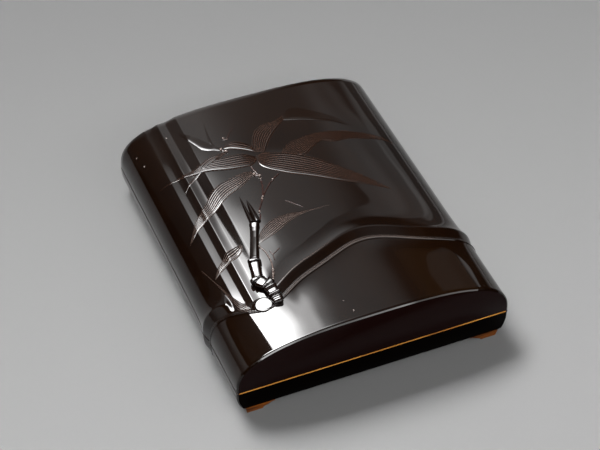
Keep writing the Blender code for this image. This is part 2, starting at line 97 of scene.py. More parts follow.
class Piece:
    """Grids of points in millimetres that become one mesh, with leaf coordinates and marks for each point."""

    def __init__(self, name):
        self.name, self.count = name, 0
        self.points, self.faces, self.blade, self.marks = [], [], [], []

    def add(self, grid, round_rows=False, round_columns=False, blade=None, marks=(0, 0, 0, 0), caps=False):
        """Adds a grid of shape (rows, columns, 3). Returns the number of its first point."""
        rows, columns = grid.shape[:2]
        start = self.count
        self.points.append(grid.reshape(-1, 3))
        blade = np.zeros((rows, columns, 2)) if blade is None else blade
        self.blade.append(np.broadcast_to(blade, (rows, columns, 2)).reshape(-1, 2))
        spread = [np.broadcast_to(np.asarray(mark, float), (rows, columns)) for mark in marks]
        self.marks.append(np.stack(spread, axis=-1).reshape(-1, len(MARKS)))
        self.faces += (grid_faces(rows, columns, round_rows, round_columns) + start).tolist()
        if caps:
            self.faces += [list(range(start, start + columns)),
                           list(range(start + (rows - 1) * columns, start + rows * columns))]
        self.count += rows * columns
        return start

    def add_shell(self, outside, inside, marks=(0, 0, 0, 0)):
        """Adds a hollow half: an outer grid, an inner one of two rows, their flat ends and the rim."""
        first, second = self.add(outside, marks=marks), self.add(inside)
        (rows, width), inner_width = outside.shape[:2], inside.shape[1]
        outer_left = [first + row * width for row in range(rows)]
        outer_right = [number + width - 1 for number in outer_left]
        inner_left = [second, second + inner_width]
        inner_right = [number + inner_width - 1 for number in inner_left]
        self.faces += [list(range(first, first + width)), list(range(outer_left[-1], outer_left[-1] + width)),
                       list(range(second, second + inner_width)),
                       list(range(second + inner_width, second + 2 * inner_width)),
                       outer_left + inner_left[::-1], outer_right + inner_right[::-1],
                       [outer_left[0], outer_right[0], inner_right[0], inner_left[0]],
                       [outer_left[-1], outer_right[-1], inner_right[-1], inner_left[-1]]]
        print(f"{self.name}: shell of {rows} rows, {width} points each")

    def build(self, sharp=50.0):
        """Mesh object with outward faces, shaded smooth but for edges over the given angle."""
        mesh = bpy.data.meshes.new(self.name)
        mesh.from_pydata((np.concatenate(self.points) * 0.001).tolist(), [], self.faces)
        turned = bmesh.new()
        turned.from_mesh(mesh)
        bmesh.ops.recalc_face_normals(turned, faces=turned.faces)
        turned.to_mesh(mesh)
        turned.free()
        corner = np.empty(len(mesh.loops), np.int32)
        mesh.loops.foreach_get("vertex_index", corner)
        layer = mesh.uv_layers.new(name="blade")
        layer.data.foreach_set("uv", np.concatenate(self.blade)[corner].ravel())
        marks = np.concatenate(self.marks)
        for number, word in enumerate(MARKS):
            attribute = mesh.attributes.new(word, "FLOAT", "POINT")
            attribute.data.foreach_set("value", np.ascontiguousarray(marks[:, number], dtype=np.float32))
        mesh.shade_smooth()
        mesh.set_sharp_from_angle(angle=math.radians(sharp))
        shape = bpy.data.objects.new(self.name, mesh)
        bpy.context.collection.objects.link(shape)
        triangles = sum(len(face) - 2 for face in self.faces)
        print(f"{self.name}: {self.count} points, {triangles} triangles")
        return shape


def ease(value, low, high):
    """S curve from 0 at low to 1 at high."""
    share = np.clip((value - low) / (high - low), 0.0, 1.0)
    return share * share * (3 - 2 * share)


def hump(value, middle, width):
    """Bell curve of height 1."""
    return np.exp(-((value - middle) / width) ** 2)


def smooth_path(points, count):
    """Points along a smooth curve through the given ones: a cubic on each stretch, by chord length."""
    points = np.asarray(points, float)
    chord = np.concatenate([[0], np.cumsum(np.linalg.norm(np.diff(points, axis=0), axis=1))])
    slope = np.gradient(points, chord, axis=0)
    place = np.linspace(0, chord[-1], count)
    cell = np.clip(np.searchsorted(chord, place, side="right") - 1, 0, len(points) - 2)
    length = (chord[cell + 1] - chord[cell])[:, None]
    share = (place - chord[cell])[:, None] / length
    onward = 3 * share ** 2 - 2 * share ** 3
    leaving, arriving = share ** 3 - 2 * share ** 2 + share, share ** 3 - share ** 2
    return ((1 - onward) * points[cell] + onward * points[cell + 1]
            + length * (leaving * slope[cell] + arriving * slope[cell + 1]))


# %% [markdown]
# ## The stem: an arch, a node and two flutes
#
# Across, the lid is a flattened arch. A superellipse gives it: steep sides, a broad top and no corner
# between. Along, nothing happens until the node. There a thin scar ridge runs round the stem, dips at the
# branch and rises beside it. Behind the ridge lies a hollow, then a crisp crest. Working with the distance
# behind the scar line, and not with Y itself, lets one profile follow the whole winding line.

# %% Arch, scar line and relief
def arch(across, half_width=HALF_WIDTH, height=LID_HEIGHT):
    """x = w sin(a) ** (2 / side power), z = h cos(a) ** (2 / top power), a from -90 to 90 degrees.
    Returns x and z and the normal's two parts."""
    turn = math.pi / 2 * np.abs(across) ** (SIDE_POWER / 2)
    x = np.sign(across) * half_width * np.sin(turn) ** (2 / SIDE_POWER)
    z = np.where(np.abs(across) > 1 - 1e-9, 0, height * np.maximum(np.cos(turn), 0) ** (2 / TOP_POWER))
    normal_x = np.sign(x) * SIDE_POWER / half_width * (np.abs(x) / half_width) ** (SIDE_POWER - 1)
    normal_z = TOP_POWER / height * (z / height) ** (TOP_POWER - 1)
    size = np.hypot(normal_x, normal_z)
    return x, z, normal_x / size, normal_z / size


def across_at(x):
    """Parameter of the arch over a place x: the first formula of the arch, solved for it."""
    share = np.clip(np.abs(x) / HALF_WIDTH, 0, 1) ** (SIDE_POWER / 2)
    return np.sign(x) * (2 / math.pi * np.arcsin(share)) ** (2 / SIDE_POWER)


def scar_line(x):
    """Y of the scar: a straight ring, less a bell where the branch leaves, plus a broad bell beside it."""
    return -71.0 - 16.1 * hump(x, -63.4, 23.2) + 16.7 * hump(x, 19.7, 34.3)


def node_relief(x, y):
    """Height over the plain stem: swell up to the crest, drop, hollow, thin double ridge, low waist."""
    behind = y - scar_line(x)
    in_flutes = ease(x, -86.0, -82.5) * (1 - ease(x, -55.7, -52.0))
    crest, lowest = CREST_HEIGHT * (1 - in_flutes), 0.35
    from_crest = np.sqrt((behind - CREST_BEHIND) ** 2 + 0.8 ** 2) - 0.8
    swell = crest * np.exp(-from_crest / 6.5)
    hollow = lowest + (crest - lowest) * np.clip(1 - from_crest / (CREST_BEHIND - 3.6), 0, 1)
    ridge = 0.5 * hump(behind, 0, 0.55) + 0.32 * hump(behind, 1.7, 0.45)
    side = ease(np.abs(x), 80.0, 100.0)
    waist, end = -0.6 + 1.2 * side, 0.4 * side
    to_end = np.clip((scar_line(x) - y) / (scar_line(x) + HALF_LENGTH), 0, 1)
    reach = 9.0 - 3.0 * ease(x, -52.0, -40.0)
    front = waist + (0.85 - waist) * np.exp(np.minimum(behind, 0) / reach) + (end - waist) * to_end ** 2
    low = np.where(behind < 0, front, lowest + 0.5 * (1 - ease(behind, 0, 3.0)))
    plain = np.where(behind > CREST_BEHIND, swell, np.where(behind > 3.0, hollow, low))
    return plain + ridge


def flute_relief(x, y):
    """Two hollows, each with a lowest line between two ridges. Depth = bottom + (ridge - bottom) share ** p,
    share being the way from the lowest line to the ridge. The distance d from a ridge is taken as
    sqrt(d * d + r * r) - r, which rounds the ridge off by r. The left hollow is deeper towards the back, and
    both run out at the node."""
    depth = np.zeros(np.broadcast(x, y).shape)
    for number, (bottom, deep) in enumerate(zip(BOTTOMS, BOTTOM_DEPTHS)):
        for side, powers in ((0, LEFT_POWERS), (1, RIGHT_POWERS)):
            ridge, level, power = FLUTE_RIDGES[number + side], RIDGE_DEPTHS[number + side], powers[number]
            width = abs(ridge - bottom)
            from_ridge = np.sqrt((x - ridge) ** 2 + RIDGE_ROUND ** 2) - RIDGE_ROUND
            share = np.clip(1 - from_ridge / width, 0, 1)
            inside = (np.minimum(ridge, bottom) <= x) & (x < np.maximum(ridge, bottom))
            depth = np.where(inside, deep + (level - deep) * share ** power, depth)
    deepened = 1 + 0.3 * ease(y, -60, -10) * (1 - ease(x, -74, -69))
    return -depth * deepened * ease(y - scar_line(x), 0.5, 4.0)


def handwork(x, y):
    """A few slow waves, hundredths of a millimetre high, as hand polishing leaves them."""
    return (0.012 * np.sin(x / 7.3 + 1.1 * np.sin(y / 13.0))
            + 0.014 * np.sin(y / 9.1 + 0.8 * np.sin(x / 11.0)) + 0.006 * np.sin((x + y) / 4.7 + 1.7))


def on_stem(across, y, lift=0.0):
    """Point of the lid: the arch, moved out along its normal by all relief and by lift."""
    across, y = np.broadcast_arrays(np.asarray(across, float), np.asarray(y, float))
    x, z, normal_x, normal_z = arch(across)
    height = node_relief(x, y) + flute_relief(x, y) + handwork(x, y) + lift
    return np.stack([x + normal_x * height, y, LID_LOW + z + normal_z * height], axis=-1)


def over_lid(x, y, lift=0.0):
    """Point of the lid above a place in plan."""
    return on_stem(across_at(np.asarray(x, float)), y, lift)


# %% [markdown]
# ## The lid's own body
#
# The grid is fine where the form is crisp: at the ridges of the flutes, at the scar and at the crest. Its
# rows follow the scar line, so a thin ridge needs only a few rows. The hollow inside is a plain arch above
# upright walls, and a flat rim joins the two. The edges of both ends have a small chamfer. A pale colour on
# the scar ridge and on a part of the crest is a painted glint. The left flute is dull, and so is a patch at
# the right of the waist, which also gets a lighter warm brown as a painted sheen.

# %% Body of the lid
def stations(scar):
    """Places along the stem for one column: few on plain parts, many at the scar and the crest."""
    crest = CREST_BEHIND
    stops = ((-14, -4, 9), (-4, -1.2, 5), (-1.2, 4.0, 25), (4.0, crest - 1.2, 8),
             (crest - 1.2, crest + 1.2, 9), (crest + 1.2, crest + 9, 9), (crest + 9, crest + 25, 9))
    near = [np.linspace(start, end, count)[:-1] for start, end, count in stops] + [[crest + 25]]
    near = scar[:, None] + np.concatenate(near)[None, :]
    front = -HALF_LENGTH + CHAMFER + (near[:, :1] + HALF_LENGTH - CHAMFER) * np.linspace(0, 1, 17)[:-1]
    back = near[:, -1:] + (HALF_LENGTH - CHAMFER - near[:, -1:]) * np.linspace(0, 1, 41)[1:]
    return np.concatenate([front, near, back], axis=1)


def chamfered_ends(inner):
    """Stations with a chamfer at both ends, its edges just broken, and how far each is drawn in."""
    along = np.array([0.0, 0.04, 0.11, 0.4, 0.79])
    inward = CHAMFER - along
    ones = np.ones((len(inner), 1))
    y = np.concatenate([ones * (along - HALF_LENGTH), inner, ones * (HALF_LENGTH - along[::-1])], axis=1)
    inset = np.concatenate([ones * inward, np.zeros_like(inner), ones * inward[::-1]], axis=1)
    return y, inset


left_part = np.linspace(-1, across_at(-84.0), 40)[:-1]
even = np.arange(-84.0, -50.0, 0.5)
from_ridge = np.abs(even[:, None] - np.array(FLUTE_RIDGES)).min(axis=1)
near_ridges = np.add.outer(FLUTE_RIDGES, (-1.0, -0.6, -0.35, -0.2, -0.08, 0.08, 0.2, 0.35, 0.6, 1.0)).ravel()
fluted = np.sort(np.concatenate([even[from_ridge > 1.15], near_ridges]))
right_part = np.linspace(across_at(-50.0), 1, 100)
columns = np.concatenate([left_part, across_at(fluted), right_part])
y, inset = chamfered_ends(stations(scar_line(arch(columns)[0])))
outside = on_stem(columns[None, :], y.T, -inset.T)
outside[:, (0, -1), 2] = LID_LOW
x = outside[..., 0]
before = scar_line(x) - outside[..., 1]
# The patch at the right of the waist is dull, and it gets a painted sheen of lighter warm brown.
painted_sheen = ease(x, 15, 48) * (1 - ease(x, 75, 78.5)) * (0.5 * ease(before, 0.5, 3) + 0.5 * ease(before, 6, 16))
rubbed = 0.36 * ease(x, -82, -80) * (1 - ease(x, -74, -71)) * ease(-before, 4, 30)
# The pale colour on the scar ridge and the crest is a painted glint that stands in for their light lines.
ridge_glint = 0.4 * hump(before, 0, 0.45) + 0.25 * hump(before, -1.7, 0.4)
crest_glint = 0.3 * hump(before, -CREST_BEHIND, 0.5) * (1 - ease(x, -25, 10))
painted_ridge_glints = ease(x, -52, -46) * (1 - ease(x, 50, 80)) * (ridge_glint + crest_glint)
inner_x, inner_z, _, _ = arch(np.linspace(-1, 1, 61), HALF_WIDTH - WALL, LID_HEIGHT - LID_CROWN - UPRIGHT)
inner_x = np.concatenate([[WALL - HALF_WIDTH], inner_x, [HALF_WIDTH - WALL]])
inner_z = np.concatenate([[0], inner_z + UPRIGHT, [0]]) + LID_LOW
inner_y = np.array([END_WALL - HALF_LENGTH, HALF_LENGTH - END_WALL])
inside = np.stack(np.broadcast_arrays(inner_x[None, :], inner_y[:, None], inner_z[None, :]), axis=-1)
lid = Piece("lid_carved")
lid.add_shell(outside, inside, (0.0, 0.0, painted_ridge_glints, painted_sheen + rubbed))

# %% [markdown]
# ## Leaves
#
# Each leaf was drawn with two strokes, from its stalk to its tip. The carver cut the ground away along the
# lower stroke, so that edge stands up and rolls over, and let the upper edge sink back into the ground. Fine
# grooves run with the leaf. Here both strokes are smooth curves through a few points. The surface blends from
# one to the other, and a profile across it gives the roll, the low ribs between the grooves and the sinking
# upper edge. Inside its edge a leaf was polished less, and on some leaves the grooves carry a painted glint
# in a pale colour.

# %% Leaf surface
def add_leaf(piece, lower, upper, veins, brown, edge=0.8, far_edge=0.15, groove=0.12, steps=52, light=0.0):
    """Point = lower stroke (1 - v) + upper stroke v, raised by the edge height at v = 0, where it rolls off,
    and by the far edge's at v = 1, less a bell shaped groove at each vein. All shrinks towards both ends."""
    lower, upper = smooth_path(lower, steps), smooth_path(upper, steps)
    near_vein = np.array([-0.3, -0.15, -0.06, 0, 0.06, 0.15, 0.3])
    ribs = np.add.outer(np.arange(1, veins), near_vein).ravel() / veins if veins else np.array([0.3, 0.6])
    v = np.concatenate([[0, 0, 0.012, 0.03, 0.06], ribs[(ribs > 0.07) & (ribs < 0.97)], [0.985, 1, 1]])
    plan = lower[:, None, :] * (1 - v[None, :, None]) + upper[:, None, :] * v[None, :, None]
    span = np.linalg.norm(upper - lower, axis=1)[:, None]
    u = np.linspace(0, 1, steps)[:, None]
    full = np.minimum(span / 5.0, 1.0) * (0.35 + 0.65 * np.sqrt(np.clip(np.sin(math.pi * u), 0, 1)))
    reach = v[None, :] * span
    rolled = edge * (1 - 0.5 * np.exp(-reach / 0.35))
    rise = far_edge + (rolled - far_edge) * (1 - v[None, :]) ** 0.75
    from_vein = np.abs((veins * v + 0.5) % 1 - 0.5)[None, :] * span / max(veins, 1)
    fade = ease(u, 0.03, 0.2) * (1 - ease(u, 0.75, 0.97)) * np.minimum(span / 6.0, 1) * (veins > 0)
    lift = rise * full - groove * np.exp(-(from_vein / 0.3) ** 2) * fade
    lift[:, (0, -1)] = -0.9
    top = over_lid(plan[..., 0], plan[..., 1], lift)
    blade = np.stack(np.broadcast_arrays(u + 0.001, (veins * v if veins else v * 0 + 0.5)[None, :]), axis=-1)
    # light sets how much painted glint, a pale colour, lies along the grooves of a leaf.
    pale, unpolished = light * (1 - 0.7 * v)[None, :], 0.3 * ease(v, 0.06, 0.15)[None, :]
    piece.add(top, round_columns=True, blade=blade, marks=(brown, 0.0, pale, unpolished), caps=True)


# light in a leaf's entry is the share of painted glint on its grooves.
LEAVES = (
    dict(lower=[(-9.2, 56.7), (-3.3, 65), (2.5, 71.7), (8.3, 77.5), (17.5, 84.8)],
         upper=[(-16.2, 58), (-15, 66.7), (-11.7, 75), (-6.7, 81.3), (0, 84.6), (10, 85.6), (18.3, 89.2)],
         veins=8, brown=0.55, edge=0.35, far_edge=0.5),
    dict(lower=[(14.5, 84.6), (23.3, 81.7), (31.7, 78.8), (40, 75), (48.3, 71.5), (62, 62.4)],
         upper=[(14.5, 86.4), (18.3, 89.6), (25.8, 94.6), (31.5, 93.0), (40, 86.7), (48.3, 80), (55, 73.3),
                (62, 63)],
         veins=0, brown=0.8, edge=0.25, far_edge=0.4),
    dict(lower=[(6.0, 46.5), (16.7, 43.0), (25, 48.3), (34, 52.5), (42.5, 48.8), (52.5, 49), (65, 46.7),
                (75.8, 45.0), (87.5, 42.0)],
         upper=[(0, 49.5), (8.3, 57.1), (16.7, 60), (26.7, 61.5), (35, 61.5), (44.2, 60.4), (55, 57.5),
                (65, 53.8), (73.3, 50.8), (81.7, 46.7), (87.5, 42.6)],
         veins=11, brown=0.75, edge=0.4, far_edge=0.42, groove=0.08),
    dict(lower=[(-17.9, 51.5), (-17.5, 45), (-13.3, 38.3), (-7.5, 33.3), (0, 27.5), (6.7, 23.3), (15, 17.9),
                (26.3, 10), (42, 0.5), (60.8, -11.4)],
         upper=[(-17, 54.5), (-10, 56.0), (-5, 53.3), (0.8, 50.8), (8.3, 46.7), (15, 41.7), (23.3, 34.2),
                (31.7, 25), (40, 15.8), (48.3, 5.8), (60.8, -10.6)],
         veins=9, brown=1.0, edge=0.5, far_edge=0.5, groove=0.06),
    dict(lower=[(-17.5, 50.5), (-22, 47.3), (-30.7, 47.5), (-41.4, 50), (-50.7, 53.6), (-62.9, 57.1),
                (-70.7, 58.6), (-82.1, 60), (-88.6, 60.2)],
         upper=[(-17.5, 54.5), (-24, 60), (-37.9, 62.9), (-47, 64), (-56.4, 63.9), (-66.4, 62.1), (-75, 61.1),
                (-88.6, 60.8)],
         veins=6, brown=0.45, edge=0.9, far_edge=0.1, groove=0.08),
    dict(lower=[(-15.2, 58.8), (-23.6, 65), (-30, 69), (-35.2, 71.6)],
         upper=[(-15.2, 62), (-16.4, 67.1), (-20, 71.4), (-26.4, 75.7), (-31.4, 75.4), (-35.2, 72.6)],
         veins=3, brown=0.5, edge=0.7, far_edge=0.1, groove=0.08),
    dict(lower=[(-35.6, 66.2), (-45, 62.9), (-52.1, 60), (-57.9, 56.4), (-66.4, 51.1), (-70.7, 48.8),
                (-75.9, 44.3)],
         upper=[(-36.4, 68.2), (-42.9, 67.9), (-49.3, 67.5), (-55, 64.6), (-61.4, 58.6), (-67.5, 53.4),
                (-75.7, 45)],
         veins=3, brown=0.4, edge=0.8, far_edge=0.2),
    dict(lower=[(-36.8, 69.6), (-42.1, 72.9), (-46.4, 74.6), (-50, 77.9), (-53, 84.5), (-57, 95),
                (-62.3, 110.7)],
         upper=[(-36.2, 71.8), (-41, 78), (-45, 84.3), (-49.3, 91.4), (-55, 98.6), (-59.3, 102.6),
                (-61.9, 111)],
         veins=0, brown=0.4, edge=0.35, far_edge=0.4),
    dict(lower=[(-37.6, 71.4), (-42, 78), (-42.3, 86.4), (-41.0, 95.7), (-39.3, 102.9)],
         upper=[(-36.4, 71.8), (-40.3, 78), (-40.5, 86.4), (-39.8, 95.7), (-39.0, 103.1)],
         veins=0, brown=0.3, edge=0.5, far_edge=0.4, steps=36),
    dict(lower=[(-25.5, 36.8), (-37.9, 29.3), (-48.6, 25), (-55, 21), (-61.7, 16.3), (-70, 11.7),
                (-78.3, 7.0), (-88.5, -1.4)],
         upper=[(-25.5, 40.6), (-30.7, 41.6), (-37.9, 40.9), (-43.6, 39.6), (-50.7, 38.6), (-56.4, 35.7),
                (-62.1, 31.4), (-66.7, 25.8), (-74.2, 19.2), (-80, 12.5), (-84.2, 5.8), (-88.3, -0.8)],
         veins=7, brown=0.35, edge=0.55, far_edge=0.35, groove=0.05, steps=96, light=0.6),
    dict(lower=[(-47.9, -28.8), (-40.8, -26.9), (-33.3, -24.2), (-23.3, -19.2), (-15, -15.6), (-5, -13.6),
                (11.9, -13.3)],
         upper=[(-47.9, -26), (-43.3, -20), (-36.7, -14.2), (-28.3, -10.8), (-17.5, -10.4), (-8.3, -11.7),
                (11.9, -12.9)],
         veins=7, brown=0.5, edge=0.55, far_edge=0.3, groove=0.05, light=0.8),
    dict(lower=[(-58.3, -25.2), (-60.8, -29.2), (-65, -32.3), (-70, -33.6), (-75.4, -36.2), (-84.6, -41.4)],
         upper=[(-58.3, -23.4), (-63.3, -22.9), (-70, -24.6), (-75, -29.4), (-80.4, -34.2), (-84.6, -40.6)],
         veins=4, brown=0.2, edge=0.95, far_edge=0.5, groove=0.06, light=1.0),
    dict(lower=[(-72.4, -83.6), (-77, -81), (-80.6, -76), (-82.3, -65.8), (-84.2, -53), (-86.2, -42),
                (-89.8, -26.5)],
         upper=[(-71.6, -82.4), (-74, -78), (-75.8, -74.2), (-79.4, -65.6), (-83.0, -53), (-85.6, -42),
                (-89.4, -26.7)],
         veins=4, brown=0.5, edge=0.8, far_edge=0.7, light=0.5),
)
for leaf in LEAVES:
    add_leaf(lid, **leaf)
print(len(LEAVES), "leaves,", lid.count, "points so far")

# %% [markdown]
# ## Branch, shoots and twigs
#
# The branch lies half sunk in the lid. Bamboo joints have a pattern of their own: the length before a joint
# widens to a soft ring, a fine groove follows, and the next length starts with a higher ring that drops off
# quickly. That is one outline of (distance, added radius), laid over each joint, so the branch is a round
# profile carried along a path with a varying radius.

# %% A tube along a path
def tube_grid(centres, radii, sides, power=1.0, lean=0.0, flat=1.0):
    """Rings square to the path: centre + r (c(a) side + flat s(a) up). Here c and s are cosine and sine, to a
    power that flattens the top when it is below 1, and up leans to the left by an angle in degrees."""
    along = np.gradient(centres, axis=0)
    along = (along + np.roll(along, 1, 0) + np.roll(along, -1, 0)) / 3 if len(along) > 8 else along
    along[0], along[-1] = centres[1] - centres[0], centres[-1] - centres[-2]
    along = along / np.linalg.norm(along, axis=1)[:, None]
    side = np.cross(along, (-math.sin(math.radians(lean)), 0.0, math.cos(math.radians(lean))))
    side /= np.linalg.norm(side, axis=1)[:, None]
    up = np.cross(side, along)
    turn = 2 * math.pi * np.arange(sides) / sides
    power = np.broadcast_to(power, len(centres))[:, None]
    cosine, sine = [np.sign(wave) * np.abs(wave) ** power for wave in (np.cos(turn), np.sin(turn))]
    ring = cosine[:, :, None] * side[:, None, :] + flat * sine[:, :, None] * up[:, None, :]
    return centres[:, None, :] + np.asarray(radii)[:, None, None] * ring


def along_route(points, step):
    """Even stations along straight stretches between points: the values at each, how far along each lies,
    and how far along each point lies."""
    points = np.asarray(points, float)
    walked = np.concatenate([[0], np.cumsum(np.linalg.norm(np.diff(points[:, :2], axis=0), axis=1))])
    place = np.linspace(0, walked[-1], int(walked[-1] / step) + 1)
    return np.stack([np.interp(place, walked, values) for values in points.T], axis=-1), place, walked


# %% Branch with its joints
JOINTS = ((-55.9, -87.2, 0.4, 3.0), (-55.5, -80.2, 1.1, 3.4), (-56.1, -70.2, 1.4, 3.9),
          (-61.0, -61.9, 1.4, 4.1), (-57.2, -45.3, 1.4, 3.4), (-43.6, -10.3, 1.2, 2.7))
JOINT_OUTLINE = ((-15, 0), (-9, 0.15), (-5, 0.45), (-3, 0.75), (-1.5, 0.95), (-0.9, 0.6), (-0.7, -0.3),
                 (-0.3, -0.4), (-0.1, 0.0), (0.2, 1.1), (1.3, 1.35), (1.8, 0.9), (2.3, 0.25), (3.0, 0.05),
                 (5, 0))
SHOOTS = (((-44.6, -8.0), (-43.2, 20.3), 1.6, 0.5), ((-40.9, -9.0), (-39.8, 14.5), 2.9, -0.6))
route, place, joint_at = along_route(JOINTS, 0.2)
x, y, lift, radius = route.T
short = np.ones(15) / 15
x, y = [np.convolve(np.pad(values, 7, mode="edge"), short, mode="valid") for values in (x, y)]
power = 0.5 + 0.16 * ease(place, joint_at[2], joint_at[3])
for at in joint_at[1:]:
    radius = radius + np.interp(place - at, *np.transpose(JOINT_OUTLINE))
    power = power - 0.2 * ease(place - at, -0.4, 0.2) * (1 - ease(place - at, 1.7, 2.8))
ends = np.minimum(1, np.sqrt(np.clip(1 - (1 - place / 1.5).clip(0) ** 2, 0.02, 1)))
ends = ends * np.sqrt(np.clip(1 - (1 - (place[-1] - place) / 0.8).clip(0) ** 2, 0.3, 1))
lid.add(tube_grid(over_lid(x, y, lift), radius * ends, 40, power, 12.0, 0.72), round_columns=True, caps=True)
for root, tip, radius, rise in SHOOTS:
    share = np.linspace(0, 1, 60)
    x, y = root[0] + (tip[0] - root[0]) * share, root[1] + (tip[1] - root[1]) * share
    lid.add(tube_grid(over_lid(x, y, rise * (1 - share)), radius * (1 - 0.93 * share ** 1.8), 20),
            round_columns=True, caps=True)

# %% [markdown]
# The twigs are thin wires with small knots where a leaf stalk leaves. The stub is where a second shoot was
# cut off: an oval with a rounded shoulder, its cut face sloping towards the front.

# %% Twigs and stub
# Columns: radius, painted glint, knots, points. The painted glint is a pale colour that stands in for light
# on a twig.
TWIGS = (
    (0.45, 0.0, (0.2, 0.5, 0.98),
     ((-38.8, -8.5), (-36.6, -4), (-35.7, 0.2), (-31.5, 7), (-28.6, 12.1), (-25, 21), (-22.5, 31.5))),
    (0.4, 0.0, (0.03, 0.72), ((-28.6, 12.1), (-21.5, 20.5), (-14.6, 27), (-8.5, 30.8))),
    (0.7, 0.2, (0.1, 0.9), ((-25.6, 37.2), (-23.8, 34.6), (-21.9, 33.2))),
    (0.5, 0.1, (), ((-22.3, 33.6), (-23.6, 39), (-24.4, 45.2))),
    (0.55, 0.5, (0.02, 0.72, 0.84, 0.97),
     ((-48.8, -31.1), (-46.7, -36.7), (-46.2, -44.8), (-46.7, -50.6), (-47.8, -55.4), (-49.6, -60.5),
      (-52, -66))),
    (0.3, 0.1, (), ((-43.5, -38.7), (-43.2, -41), (-43.0, -42.9), (-43.6, -48))),
    (0.3, 0.1, (), ((-43.0, -42.9), (-40, -41.2), (-36.5, -39))),
    (0.4, 0.3, (0.1,), ((-32.1, 82.5), (-31.6, 80.4), (-29.6, 80.2), (-28.9, 81.6))),
    (0.3, 0.0, (), ((-29.6, 80.2), (-26, 85), (-21.4, 90))),
    (0.6, 0.2, (0.2, 0.8), ((-38.2, 72.6), (-36.5, 69), (-33.8, 67))),
    (0.35, 0.0, (), ((-15, 2.6), (-10.5, -2.2), (-6, -8))),
)
for radius, pale, knots, points in TWIGS:
    path = smooth_path(points, 26 * (len(points) - 1))
    share = np.linspace(0, 1, len(path))
    length = np.linalg.norm(np.diff(path, axis=0), axis=1).sum()
    swelling = sum((hump(share, knot, 0.7 / length) for knot in knots), np.zeros_like(share))
    # Painted glint: a pale colour on the knots and along some twigs stands in for their light lines.
    painted_twig_glint = np.clip(pale + 0.9 * swelling, 0, 1)[:, None]
    middle = over_lid(path[:, 0], path[:, 1], 0.15 + 0.35 * swelling)
    lid.add(tube_grid(middle, radius * (1 + 0.9 * swelling), 8), round_columns=True, caps=True,
            marks=(0.6, 0.8, painted_twig_glint, 0.0))

turn = 2 * math.pi * np.arange(72) / 72
STUB = ((0, 1, -4.0), (0, 1, -1.6), (0.2, 1, -0.6), (0.45, 1, 0.7), (0.75, 1, 2.0), (1, 1, 2.7),
        (1, 0.7, 2.7), (1, 0.4, 2.7), (1, 0.02, 2.7))
profile = smooth_path(STUB, 48)
shift, reach, height = profile.T[:, :, None]
stub_x = -66.9 + 1.6 * shift + (7.3 - 1.9 * shift) * reach * np.cos(turn)
stub_y = -80.2 - 2.9 * shift + (7.9 - 2.7 * shift) * reach * np.sin(turn)
slope = 0.15 * (stub_x + 65.3) + 0.115 * (stub_y + 83.1)
stub_z = over_lid(-66.8, -79.5)[2] + height + ease(height, 0, 2.0) * slope
lid.add(np.stack([stub_x, stub_y, stub_z], axis=-1), round_columns=True, caps=True)
print("whole lid:", lid.count, "points")
lid_object = lid.build()

# %% [markdown]
# ## Base, lip and feet
#
# The base is the lower half of the same stem, so the ring of the node runs on down its sides and fades out
# below. Its section has rounded lower corners, inside and out. It is carried along Y, as the lid is.

# %% Base
def tub(half_width, low, top, steps):
    """Quarter ellipse corners up to a straight rim: points from the left rim to the right."""
    turn = np.linspace(0, math.pi / 2, steps)
    x = np.append(half_width - CORNER_WIDTH * (1 - np.sin(turn)), half_width)
    z = np.append(low + (CORNER_HEIGHT - low) * (1 - np.cos(turn)), top)
    return np.concatenate([-x[::-1], x]), np.concatenate([z[::-1], z])


across_x, up_z = tub(HALF_WIDTH, 0.0, RIM - BASE_LOW, 26)
side = np.sign(across_x)
y, inset = chamfered_ends(stations(scar_line(side * HALF_WIDTH)))
lean = 4.0 * (1 - up_z / (RIM - BASE_LOW))
reach = node_relief((side * HALF_WIDTH)[:, None], y + lean[:, None]) * ease(up_z, 2.0, 9.0)[:, None] - inset
x = across_x[:, None] + side[:, None] * reach
z = BASE_LOW + up_z[:, None] + np.where(up_z[:, None] < 0.9, inset, 0)
outside = np.stack(np.broadcast_arrays(x, y, z), axis=-1).transpose(1, 0, 2)
hollow_x, hollow_z = tub(HALF_WIDTH - WALL, FLOOR, RIM - BASE_LOW, 14)
hollow_z = hollow_z + BASE_LOW
inside = np.stack(np.broadcast_arrays(hollow_x[None, :], inner_y[:, None], hollow_z[None, :]), axis=-1)
base = Piece("base_tray")
base.add_shell(outside, inside)
base_object = base.build()

# %% [markdown]
# The lip is a strip of amber wood let into the rim. Only its shoulder shows, as a thin golden line between
# lid and base. Inside, it stands up to hold the lid in place. Its outline follows the ring of the node.

# %% Lip
end_y = HALF_LENGTH - LIP_BACK
edge_y = np.concatenate([[-end_y], stations(scar_line(np.array([-HALF_WIDTH])))[0][::2], [end_y]])
edge_x = HALF_WIDTH - LIP_BACK + node_relief(np.full_like(edge_y, -HALF_WIDTH), edge_y)
outline = np.concatenate([np.stack([-edge_x, edge_y], axis=-1), np.stack([edge_x, edge_y], axis=-1)[::-1]])


def inner_loop(clearance):
    """Rectangle inside the walls by a clearance, with a point for each point of the outline."""
    reach_x, reach_y = HALF_WIDTH - WALL - clearance, HALF_LENGTH - END_WALL - clearance
    return np.stack([np.sign(outline[:, 0]) * reach_x, outline[:, 1] / end_y * reach_y], axis=-1)


